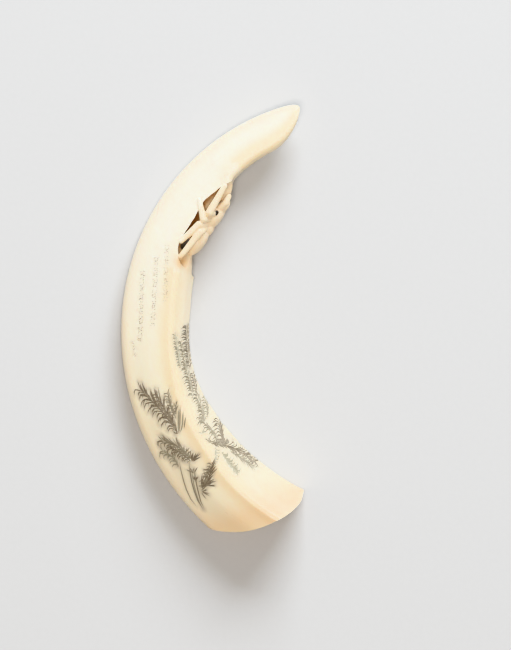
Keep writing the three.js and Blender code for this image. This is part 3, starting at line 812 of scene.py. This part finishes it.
# The hollow round the spider, with the web halfway between the faces and small gouge marks.
def hollow_floor(along, across):
    rim = SPIDER_LENGTH * smooth_profile(RIM, along / SPIDER_LENGTH)
    web = SPIDER_LENGTH * smooth_profile(WEB, along / SPIDER_LENGTH)
    share = np.minimum(1, np.abs(across) / HALF_THICKNESS)
    floor = rim + (web - rim) * np.exp(-((across / WEB_WAIST) ** 2)) * (1 - share**2)
    gouges = np.sin(along * 2.1 + 1.3 * np.sin(across)) * np.sin(across * 1.7 + along * 0.4)
    return floor + GOUGE_DEPTH * gouges * (1 - share**4)


def spider_hollow(materials):
    alongs = SPIDER_LENGTH * np.linspace(RIM[0][0], RIM[-1][0], 120)
    spread = np.linspace(-1, 1, 65)
    across = HOLLOW_ACROSS * HALF_THICKNESS * np.sign(spread) * spread**2
    rings = []
    for t in alongs:
        outer = from_spider(t, HOLLOW_OUTWARD * SPIDER_LENGTH, across)
        inner = from_spider(t, hollow_floor(np.full(len(across), t), across), across)
        rings.append(np.concatenate([outer, inner[::-1]]))
    return closed_sweep("hollow", np.array(rings), materials)


def cord_channel(materials):
    angles = np.linspace(0, 2 * np.pi, 48, endpoint=False)
    along = CHANNEL_PLACE[0] * SPIDER_LENGTH + CHANNEL_LENGTH / 2 * np.cos(angles)
    outward = CHANNEL_PLACE[1] * SPIDER_LENGTH + CHANNEL_WIDTH / 2 * np.sin(angles)
    reach = 2 * HALF_THICKNESS
    rings = [from_spider(along, outward, across) for across in np.linspace(-reach, reach, 9)]
    return closed_sweep("channel", np.array(rings), materials)


# The spider, from round forms and limbs that are then melted together.
def ellipsoid(middle, half, dents=0):
    def place(p):
        fold = 1 - dents * np.exp(-(((p[:, 0] * 3) % 1 - 0.5) ** 2) / 0.02) * (1 - p[:, 0] ** 2)
        return from_spider(
            middle[0] + half[0] * p[:, 0],
            middle[1] + half[1] * p[:, 1] * fold,
            middle[2] + half[2] * p[:, 2] * fold,
        )

    return place


def limb_rings(start, end, start_radius, end_radius):
    axis = (end - start) / np.linalg.norm(end - start)
    side = np.cross(axis, (0, 0, 1))
    side /= np.linalg.norm(side)
    other = np.cross(axis, side)
    angles = np.linspace(0, 2 * np.pi, LIMB_SIDES, endpoint=False)
    circle = np.cos(angles)[:, None] * side + np.sin(angles)[:, None] * other
    rings = []
    for turn in np.linspace(-np.pi / 2 + LIMB_CAP_HOLE, 0, LIMB_CAP_ROWS):
        rings.append(start + start_radius * (math.sin(turn) * axis + math.cos(turn) * circle))
    for turn in np.linspace(0, np.pi / 2 - LIMB_CAP_HOLE, LIMB_CAP_ROWS):
        rings.append(end + end_radius * (math.sin(turn) * axis + math.cos(turn) * circle))
    return np.array(rings)


# The height of the tusk's upper or lower face at a point of the spider's frame, about its middle.
def face_across(along, outward, side):
    spot = from_spider(along, outward, 0.0)
    s, w = stations_of(spot[0], spot[1])
    around = np.linspace(0, ROUND, 1200)
    ws, zs = section_point(np.full(len(around), float(s)), around)
    crossing = (ws[:-1] - w) * (ws[1:] - w) < 0
    heights = zs[:-1][crossing]
    return (heights.max() if side > 0 else heights.min()) - SPIDER_ORIGIN[2]


def limb_paths(side):
    face = "upper" if side > 0 else "lower"
    size = SPIDER_LENGTH
    paths = []
    for hip, knee, foot, thick in LEGS:
        radius = LEG_RADIUS * thick
        knee_radius = radius * KNEE_SWELL
        knee_across = side * (HALF_THICKNESS - KNEE_SUNK[face] * knee_radius)
        foot_across = face_across(foot[0] * size, foot[1] * size, side) - side * FOOT_SUNK[face] * radius
        points = [
            from_spider(hip[0] * size, hip[1] * size, side * HIP_SPREAD * SPIDER_WIDTH),
            from_spider(knee[0] * size, knee[1] * size, knee_across),
            from_spider(foot[0] * size, foot[1] * size, foot_across),
        ]
        paths.append((points, (radius, knee_radius, radius * FOOT_TAPER)))
    palp = [from_spider(a * size, o * size, side * c * SPIDER_WIDTH) for a, o, c in PALP]
    thick = LEG_RADIUS * PALP_THICK
    paths.append((palp, (thick, thick, thick * PALP_TAPER)))
    return paths


def spider(materials):
    parts = []
    for (ma, mo, mc), (ha, ho, hc), dents in BODY_FORMS:
        middle = (ma * SPIDER_LENGTH, mo * SPIDER_LENGTH, mc * SPIDER_WIDTH)
        half = (ha * SPIDER_LENGTH, ho * SPIDER_LENGTH, hc * SPIDER_WIDTH)
        parts.append(round_solid("form", materials, 48, 30, ellipsoid(middle, half, dents)))
    for side in (1, -1):
        for points, radii in limb_paths(side):
            for i in (0, 1):
                rings = limb_rings(points[i], points[i + 1], radii[i], radii[i + 1])
                parts.append(closed_sweep("limb", rings, materials))
    body = bmesh.new()
    for part in parts:
        body.from_mesh(part.data)
        bpy.data.objects.remove(part)
    mesh = bpy.data.meshes.new("spider")
    body.to_mesh(mesh)
    body.free()
    for material in materials:
        mesh.materials.append(material)
    piece = bpy.data.objects.new("spider", mesh)
    bpy.context.scene.collection.objects.link(piece)
    melt = piece.modifiers.new("melt", "REMESH")
    melt.mode = "VOXEL"
    melt.voxel_size = SPIDER_GRAIN
    soften = piece.modifiers.new("soften", "SMOOTH")
    soften.factor = 0.5
    soften.iterations = 4
    settle(piece)
    return piece


def eye_middle(side):
    along = (EYE_PLACE[0] - HEAD_MIDDLE[0]) / HEAD_HALF[0]
    outward = (EYE_PLACE[1] - HEAD_MIDDLE[1]) / HEAD_HALF[1]
    across = HEAD_HALF[2] * SPIDER_WIDTH * math.sqrt(1 - along**2 - outward**2)
    return EYE_PLACE[0] * SPIDER_LENGTH, EYE_PLACE[1] * SPIDER_LENGTH, side * across


def eye_solid(name, side, clearance, materials):
    half = [size / 2 + clearance for size in (EYE_LENGTH, EYE_WIDTH, EYE_WIDTH)]
    return round_solid(name, materials, 40, 26, ellipsoid(eye_middle(side), half))


# From the root corner's own frame in millimetres to the shared frame in metres.
def frame_shift():
    low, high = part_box("upper_eye")
    middle = (low + high) / 2 * 1000
    own = from_spider(*eye_middle(1))
    return np.array([middle.x - own[0], middle.y - own[1], 0])


def into_frame(piece):
    piece.data.transform(Matrix.Scale(0.001, 4) @ Matrix.Translation(Vector(frame_shift())))


# The share of the sky that each point of the carving doesn't see within a short reach.
def hidden_share(mesh, chosen, reach):
    tree = BVHTree.FromPolygons([v.co for v in mesh.vertices], [tuple(p.vertices) for p in mesh.polygons])
    rays = []
    for i in range(OCCLUSION_RAYS):
        rise = math.sqrt((i + 0.5) / OCCLUSION_RAYS)
        turn = i * math.pi * (3 - math.sqrt(5))
        flat = math.sqrt(1 - rise * rise)
        rays.append((flat * math.cos(turn), flat * math.sin(turn), rise))
    shares = np.zeros(len(mesh.vertices))
    for i in chosen:
        normal = mesh.vertices[i].normal
        start = mesh.vertices[i].co + normal * 0.02
        turned = normal.to_track_quat("Z", "Y").to_matrix()
        hits = sum(1 for ray in rays if tree.ray_cast(start, turned @ Vector(ray), reach)[0] is not None)
        shares[i] = hits / OCCLUSION_RAYS
    return shares


def write_value(mesh, name, values):
    layer = mesh.attributes.new(name, "FLOAT", "POINT")
    layer.data.foreach_set("value", np.asarray(values, dtype=np.float32))


def bell(values, middle, width):
    return np.exp(-(((values - middle) / width) ** 2))


# How much ink has spread between the strokes, at points of the upper side.
def spread_ink(points, inner):
    amount = np.zeros(len(points))
    upper = points[:, 2] > WASH_LOWEST
    for line, _, tone in STROKES:
        near = np.where(upper & near_line(points[:, :2], line, 2 * WASH_REACH))[0]
        amount[near] += WASH_SHARES[tone] * bell(distance_to_line(points[near, :2], line), 0, WASH_REACH)
    return np.clip(amount * (1 + (INNER_WIDENING - 1) * inner), 0, 1)


# How far points are past the plane of the saw's cut, less than zero in front of it.
def past_cut(points):
    corner = place_on_tusk(0.0, 0.0, 0.0)
    return (points[:, :2] - corner[:2]) @ np.array([math.cos(CUT_FACING), math.sin(CUT_FACING)])


# The tints of the hollow and the spider, with stain and painted shade where the carving hides the sky.
# Gives back which points lie near them.
def write_carving_tints(mesh, points):
    size = SPIDER_LENGTH
    t, o, a = to_spider(points)
    near = (t > CARVING_ALONG[0] * size) & (t < CARVING_ALONG[1] * size) & (o > CARVING_LOWEST * size)
    from_rim = o - size * smooth_profile(RIM, t / size)
    from_face = HALF_THICKNESS - np.abs(a)
    # Stain and painted shade: a band just inside the rim, and darkening where the sky is hidden.
    rim_stain_and_shade = bell(from_rim, RIM_STAIN_AND_SHADE_FROM, RIM_STAIN_AND_SHADE_REACH) * np.clip(from_face / RIM_FADE, 0, 1) * near
    hidden = hidden_share(mesh, np.where(near)[0], STAIN_AND_SHADE_REACH)
    scoop = bell(t, SCOOP_PLACE[0] * size, SCOOP_REACH[0]) * bell(o, SCOOP_PLACE[1] * size, SCOOP_REACH[1])
    write_value(mesh, "stain_and_shade", np.clip(0.6 * hidden + 0.6 * rim_stain_and_shade * (0.2 + hidden), 0, 1))
    write_value(mesh, "scoop", scoop * near)
    write_value(mesh, "carved", np.clip(from_rim / RIM_FADE, 0, 1) * near)
    return near


# The tints of the tusk, as values at its points that the material mixes with.
def write_tints(mesh):
    points = np.zeros(len(mesh.vertices) * 3)
    mesh.vertices.foreach_get("co", points)
    points = points.reshape(-1, 3)
    near = write_carving_tints(mesh, points)
    s, w = stations_of(points[:, 0], points[:, 1])
    ridge = corners_at(s)[2]
    from_ridge = np.hypot(w - ridge[0], points[:, 2] - ridge[1])
    inner = np.clip((w - ridge[0]) / INNER_FADE, 0, 1)
    write_value(mesh, "warm", bell(from_ridge, *RIDGE_GLOW) * (1 - 0.6 * near))
    write_value(mesh, "root", np.clip(1 + (past_cut(points) - 1) / ROOT_GLOW, 0, 1) ** 1.4)
    write_value(mesh, "edge", bell(w, 0, EDGE_GLOW))
    write_value(mesh, "aged", np.clip((AGED_FROM - s / EDGE_LENGTH) / AGED_OVER, 0, 1))
    write_value(mesh, "inner", inner)
    write_value(mesh, "wash", spread_ink(points, inner))
    place = mesh.attributes.new("place", "FLOAT_VECTOR", "POINT")
    place.data.foreach_set("vector", np.stack([s, w, points[:, 2]], 1).astype(np.float32).ravel())


# Sharp where faces meet at an angle and where ink meets tusk, smooth elsewhere.
def set_sharp_edges(mesh):
    mesh.polygons.foreach_set("use_smooth", [True] * len(mesh.polygons))
    bm = bmesh.new()
    bm.from_mesh(mesh)
    for edge in bm.edges:
        if len(edge.link_faces) != 2:
            continue
        first, second = edge.link_faces
        folded = first.normal.angle(second.normal, 0) > SHARP_ANGLE
        edge.smooth = not folded and first.material_index == second.material_index
    bm.to_mesh(mesh)
    bm.free()


def carved_tusk(ivory, inks):
    materials = [ivory, *inks]
    piece = skin_object(materials)
    combine(piece, root_cut(materials), "DIFFERENCE")
    combine(piece, pulp_cavity(materials), "DIFFERENCE")
    combine(piece, spider_hollow(materials), "DIFFERENCE")
    combine(piece, cord_channel(materials), "DIFFERENCE")
    combine(piece, spider(materials), "UNION")
    for side in (1, -1):
        combine(piece, eye_solid("socket", side, EYE_CLEARANCE, materials), "DIFFERENCE")
    piece.name = "finished_tusk"
    set_sharp_edges(piece.data)
    write_tints(piece.data)
    into_frame(piece)
    return piece


# Materials.
def new_material(name, colour):
    material = bpy.data.materials.new(name)
    material.use_nodes = True
    shader = material.node_tree.nodes["Principled BSDF"]
    shader.inputs["Base Color"].default_value = (*colour, 1)
    return material, shader


# Ink in a groove is one plain colour, so that each stroke keeps its own crisp edge.
def ink_material(tone, colour):
    material, shader = new_material(f"ink_{tone}", colour)
    shader.inputs["Roughness"].default_value = INK_ROUGHNESS
    return material


def add_node(tree, kind, **settings):
    node = tree.nodes.new(kind)
    for key, value in settings.items():
        setattr(node, key, value)
    return node


def attribute(tree, name):
    return add_node(tree, "ShaderNodeAttribute", attribute_name=name)


# Mixes a colour over another by an amount that is 0 to 1 times a strength.
def tinted(tree, under, colour, amount, strength):
    scaled = add_node(tree, "ShaderNodeMath", operation="MULTIPLY", use_clamp=True)
    tree.links.new(amount, scaled.inputs[0])
    scaled.inputs[1].default_value = strength
    mix = add_node(tree, "ShaderNodeMix", data_type="RGBA")
    tree.links.new(scaled.outputs[0], mix.inputs["Factor"])
    tree.links.new(under, mix.inputs["A"])
    mix.inputs["B"].default_value = (*colour, 1)
    return mix.outputs["Result"]


def lay_tints(tree, colour, tints):
    for name, tint, strength in tints:
        colour = tinted(tree, colour, tint, attribute(tree, name).outputs["Fac"], strength)
    return colour


# A noise drawn out along the tusk, from lengths along and across it in millimetres.
def stretched_noise(tree, stretch, scale, detail):
    mapping = add_node(tree, "ShaderNodeMapping")
    mapping.inputs["Scale"].default_value = stretch
    tree.links.new(attribute(tree, "place").outputs["Vector"], mapping.inputs["Vector"])
    noise = add_node(tree, "ShaderNodeTexNoise")
    noise.inputs["Scale"].default_value = scale
    noise.inputs["Detail"].default_value = detail
    tree.links.new(mapping.outputs["Vector"], noise.inputs["Vector"])
    return noise.outputs["Fac"]


# A noise in the piece's own space, by its size in metres.
def speckle(tree, size, detail):
    noise = add_node(tree, "ShaderNodeTexNoise")
    noise.inputs["Scale"].default_value = 1 / size
    noise.inputs["Detail"].default_value = detail
    tree.links.new(add_node(tree, "ShaderNodeTexCoord").outputs["Object"], noise.inputs["Vector"])
    return noise.outputs["Fac"]


def give_roughness(tree, shader, pattern, least, most):
    spread = add_node(tree, "ShaderNodeMapRange")
    spread.inputs["From Min"].default_value = 0.3
    spread.inputs["From Max"].default_value = 0.7
    spread.inputs["To Min"].default_value = least
    spread.inputs["To Max"].default_value = most
    tree.links.new(pattern, spread.inputs["Value"])
    tree.links.new(spread.outputs["Result"], shader.inputs["Roughness"])


def give_bump(tree, shader, pattern, strength, depth):
    bump = add_node(tree, "ShaderNodeBump")
    bump.inputs["Strength"].default_value = strength
    bump.inputs["Distance"].default_value = depth
    tree.links.new(pattern, bump.inputs["Height"])
    tree.links.new(bump.outputs["Normal"], shader.inputs["Normal"])


# A colour with a faint second colour in it, and a surface that isn't quite even.
def patterned_material(name, colour, second, size, least, most):
    material, shader = new_material(name, colour)
    tree = material.node_tree
    base = add_node(tree, "ShaderNodeRGB")
    base.outputs[0].default_value = (*colour, 1)
    pattern = speckle(tree, size, 4)
    tree.links.new(tinted(tree, base.outputs[0], second, pattern, 0.8), shader.inputs["Base Color"])
    give_roughness(tree, shader, pattern, least, most)
    give_bump(tree, shader, pattern, 0.1, size / 20)
    return material


def ivory_material():
    material, shader = new_material("ivory", IVORY)
    tree = material.node_tree
    base = add_node(tree, "ShaderNodeRGB")
    base.outputs[0].default_value = (*IVORY, 1)
    colour = lay_tints(tree, base.outputs[0], TUSK_TINTS)
    clouds = stretched_noise(tree, (0.25, 1, 1), 0.12, 3)
    colour = tinted(tree, colour, ROSE, clouds, 0.3)
    grain = stretched_noise(tree, (0.05, 1, 1), 1.6, 4)
    colour = tinted(tree, colour, WARM, grain, 0.14)
    colour = lay_tints(tree, colour, CARVING_TINTS)
    # Stain and painted shade in the hollow: tan where part of the sky is hidden, near black where most is.
    stain_and_shade = attribute(tree, "stain_and_shade").outputs["Fac"]
    ramp = add_node(tree, "ShaderNodeValToRGB")
    ramp.color_ramp.elements[0].position = 0.3
    ramp.color_ramp.elements[1].position = 0.85
    tree.links.new(stain_and_shade, ramp.inputs["Fac"])
    colour = tinted(tree, colour, TAN_STAIN_AND_SHADE, ramp.outputs["Color"], 0.9)
    deep = add_node(tree, "ShaderNodeMath", operation="POWER")
    deep.inputs[1].default_value = 3
    tree.links.new(stain_and_shade, deep.inputs[0])
    colour = tinted(tree, colour, CREVICE_STAIN_AND_SHADE, deep.outputs[0], 1.1)
    tree.links.new(colour, shader.inputs["Base Color"])
    polish = stretched_noise(tree, (0.3, 1, 1), 0.35, 4)
    give_roughness(tree, shader, polish, 0.27, 0.43)
    give_bump(tree, shader, stretched_noise(tree, (0.04, 1, 1), 2.4, 5), 0.12, 0.00008)
    shader.inputs["Subsurface Weight"].default_value = 0.25
    shader.inputs["Subsurface Radius"].default_value = (1, 0.7, 0.45)
    shader.inputs["Subsurface Scale"].default_value = 0.002
    return material


def stage_and_light():
    mesh = bpy.data.meshes.new("floor")
    corners = [(x * FLOOR_REACH, y * FLOOR_REACH, 0) for x, y in ((-1, -1), (1, -1), (1, 1), (-1, 1))]
    mesh.from_pydata(corners, [], [(0, 1, 2, 3)])
    floor = bpy.data.objects.new("floor", mesh)
    bpy.context.scene.collection.objects.link(floor)
    mesh.materials.append(patterned_material("paper", PAPER, PAPER_FLECK, 0.0015, 0.85, 0.95))
    world = bpy.data.worlds.new("studio")
    world.use_nodes = True
    world.node_tree.nodes["Background"].inputs["Color"].default_value = (*SKY, 1)
    world.node_tree.nodes["Background"].inputs["Strength"].default_value = SKY_STRENGTH
    bpy.context.scene.world = world
    for light in LIGHTS:
        add_softbox(*light)


def add_softbox(name, place, size, power, colour):
    lamp = bpy.data.lights.new(name, "AREA")
    lamp.shape = "RECTANGLE"
    lamp.size, lamp.size_y = size
    lamp.energy = power
    lamp.color = colour
    holder = bpy.data.objects.new(name, lamp)
    holder.location = place
    holder.rotation_euler = (-Vector(place)).to_track_quat("-Z", "Y").to_euler()
    bpy.context.scene.collection.objects.link(holder)


def add_camera():
    lens = bpy.data.cameras.new("camera")
    lens.sensor_fit = "HORIZONTAL"
    lens.sensor_width = SENSOR_WIDTH
    lens.lens = LENS
    lens.clip_end = SIGHT
    holder = bpy.data.objects.new("camera", lens)
    distance = VIEW_WIDTH * LENS / SENSOR_WIDTH
    holder.location = (VIEW_MIDDLE[0], VIEW_MIDDLE[1], distance)
    bpy.context.scene.collection.objects.link(holder)
    bpy.context.scene.camera = holder
    bpy.context.scene.view_settings.view_transform = "Khronos PBR Neutral"


def main():
    lay_out_engraving()
    inks = [ink_material(tone, colour) for tone, colour in enumerate(INK_TONES)]
    tusk = carved_tusk(ivory_material(), inks)
    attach(tusk, "root")
    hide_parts("carved_tusk")
    horn = patterned_material("horn", HORN, HORN_STREAK, 0.0005, 0.1, 0.2)
    for side, node in ((1, "upper_eye"), (-1, "lower_eye")):
        eye = eye_solid(f"finished_{node}", side, 0, [horn])
        set_sharp_edges(eye.data)
        into_frame(eye)
        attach(eye, "root")
        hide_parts(node)
    stage_and_light()
    add_camera()
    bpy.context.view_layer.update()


main()
